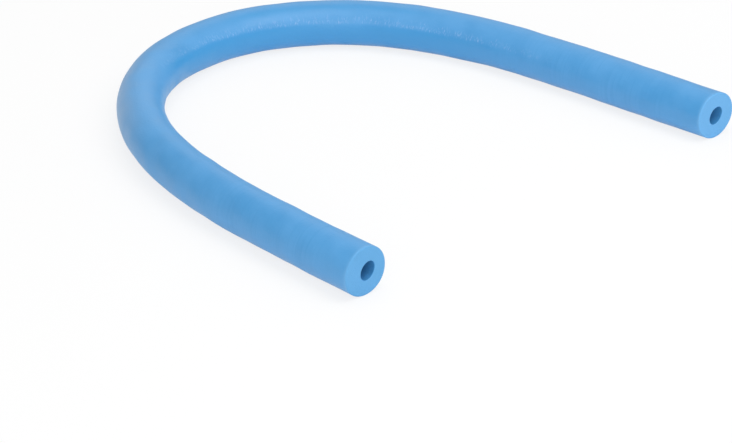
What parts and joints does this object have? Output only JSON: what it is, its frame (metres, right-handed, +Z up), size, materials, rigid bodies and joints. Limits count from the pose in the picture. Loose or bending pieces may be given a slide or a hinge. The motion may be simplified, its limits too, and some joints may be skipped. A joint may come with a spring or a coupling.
{
  "type": "pool noodle",
  "caption": "Pool noodle: a long round foam tube with a small bore through it, lying bent to a wide U, in blue.",
  "frame": {"origin": "on the ground below the middle of the noodle's outline, as it lies bent to a U", "axes": "+X towards the open side of the U, +Y towards the leg at the far end of the noodle, +Z up"},
  "size_m": [0.6838, 0.6946, 0.0625],
  "materials": {
    "foam": "satin closed-cell polyethylene foam skin, with a lighter, open-celled look on the cut ends"
  },
  "bodies": {
    "length_01": {"foam_length_01": "foam"},
    "length_02": {"foam_length_02": "foam"},
    "length_03": {"foam_length_03": "foam"},
    "length_04": {"foam_length_04": "foam"},
    "length_05": {"foam_length_05": "foam"},
    "length_06": {"foam_length_06": "foam"},
    "length_07": {"foam_length_07": "foam"},
    "length_08": {"foam_length_08": "foam"},
    "length_09": {"foam_length_09": "foam"},
    "length_10": {"foam_length_10": "foam"},
    "length_11": {"foam_length_11": "foam"},
    "length_12": {"foam_length_12": "foam"},
    "length_13": {"foam_length_13": "foam"},
    "length_14": {"foam_length_14": "foam"},
    "length_15": {"foam_length_15": "foam"},
    "length_16": {"foam_length_16": "foam"}
  },
  "joints": [
    {"name": "bend_01", "type": "hinge", "parent": "length_02", "child": "length_01", "pos_m": [0.22593, -0.3118, 0.03123], "axis": [0, 0, 1], "range_deg": [-11.2, 18.8], "stiffness_Nm_per_rad": 6},
    {"name": "bend_02", "type": "hinge", "parent": "length_03", "child": "length_02", "pos_m": [0.12614, -0.30544, 0.03123], "axis": [0, 0, 1], "range_deg": [-13.5, 16.5], "stiffness_Nm_per_rad": 6},
    {"name": "bend_03", "type": "hinge", "parent": "length_04", "child": "length_03", "pos_m": [0.02694, -0.29305, 0.03123], "axis": [0, 0, 1], "range_deg": [-16.8, 13.2], "stiffness_Nm_per_rad": 6},
    {"name": "bend_04", "type": "hinge", "parent": "length_05", "child": "length_04", "pos_m": [-0.07004, -0.26907, 0.03123], "axis": [0, 0, 1], "range_deg": [-20.7, 9.3], "stiffness_Nm_per_rad": 6},
    {"name": "bend_05", "type": "hinge", "parent": "length_06", "child": "length_05", "pos_m": [-0.16081, -0.22759, 0.03123], "axis": [0, 0, 1], "range_deg": [-24.7, 5.3], "stiffness_Nm_per_rad": 6},
    {"name": "bend_06", "type": "hinge", "parent": "length_07", "child": "length_06", "pos_m": [-0.23797, -0.16454, 0.03123], "axis": [0, 0, 1], "range_deg": [-28.3, 2], "stiffness_Nm_per_rad": 6},
    {"name": "bend_07", "type": "hinge", "parent": "length_08", "child": "length_07", "pos_m": [-0.29131, -0.08055, 0.03123], "axis": [0, 0, 1], "range_deg": [-31.1, 2], "stiffness_Nm_per_rad": 6},
    {"name": "bend_08", "type": "hinge", "parent": "length_09", "child": "length_08", "pos_m": [-0.31073, 0.01691, 0.03123], "axis": [0, 0, 1], "range_deg": [-32.8, 2], "stiffness_Nm_per_rad": 6},
    {"name": "bend_09", "type": "hinge", "parent": "length_09", "child": "length_10", "pos_m": [-0.2909, 0.11423, 0.03123], "axis": [0, 0, -1], "range_deg": [-32.9, 2], "stiffness_Nm_per_rad": 6},
    {"name": "bend_10", "type": "hinge", "parent": "length_10", "child": "length_11", "pos_m": [-0.23476, 0.19623, 0.03123], "axis": [0, 0, -1], "range_deg": [-30.6, 2], "stiffness_Nm_per_rad": 6},
    {"name": "bend_11", "type": "hinge", "parent": "length_11", "child": "length_12", "pos_m": [-0.15325, 0.2534, 0.03123], "axis": [0, 0, -1], "range_deg": [-26, 4], "stiffness_Nm_per_rad": 6},
    {"name": "bend_12", "type": "hinge", "parent": "length_12", "child": "length_13", "pos_m": [-0.05894, 0.28596, 0.03123], "axis": [0, 0, -1], "range_deg": [-20.3, 9.7], "stiffness_Nm_per_rad": 6},
    {"name": "bend_13", "type": "hinge", "parent": "length_13", "child": "length_14", "pos_m": [0.03983, 0.30111, 0.03123], "axis": [0, 0, -1], "range_deg": [-15, 15], "stiffness_Nm_per_rad": 6},
    {"name": "bend_14", "type": "hinge", "parent": "length_14", "child": "length_15", "pos_m": [0.13961, 0.30764, 0.03123], "axis": [0, 0, -1], "range_deg": [-11.3, 18.7], "stiffness_Nm_per_rad": 6},
    {"name": "bend_15", "type": "hinge", "parent": "length_15", "child": "length_16", "pos_m": [0.23952, 0.31186, 0.03123], "axis": [0, 0, -1], "range_deg": [-10.1, 19.9], "stiffness_Nm_per_rad": 6}
  ]
}
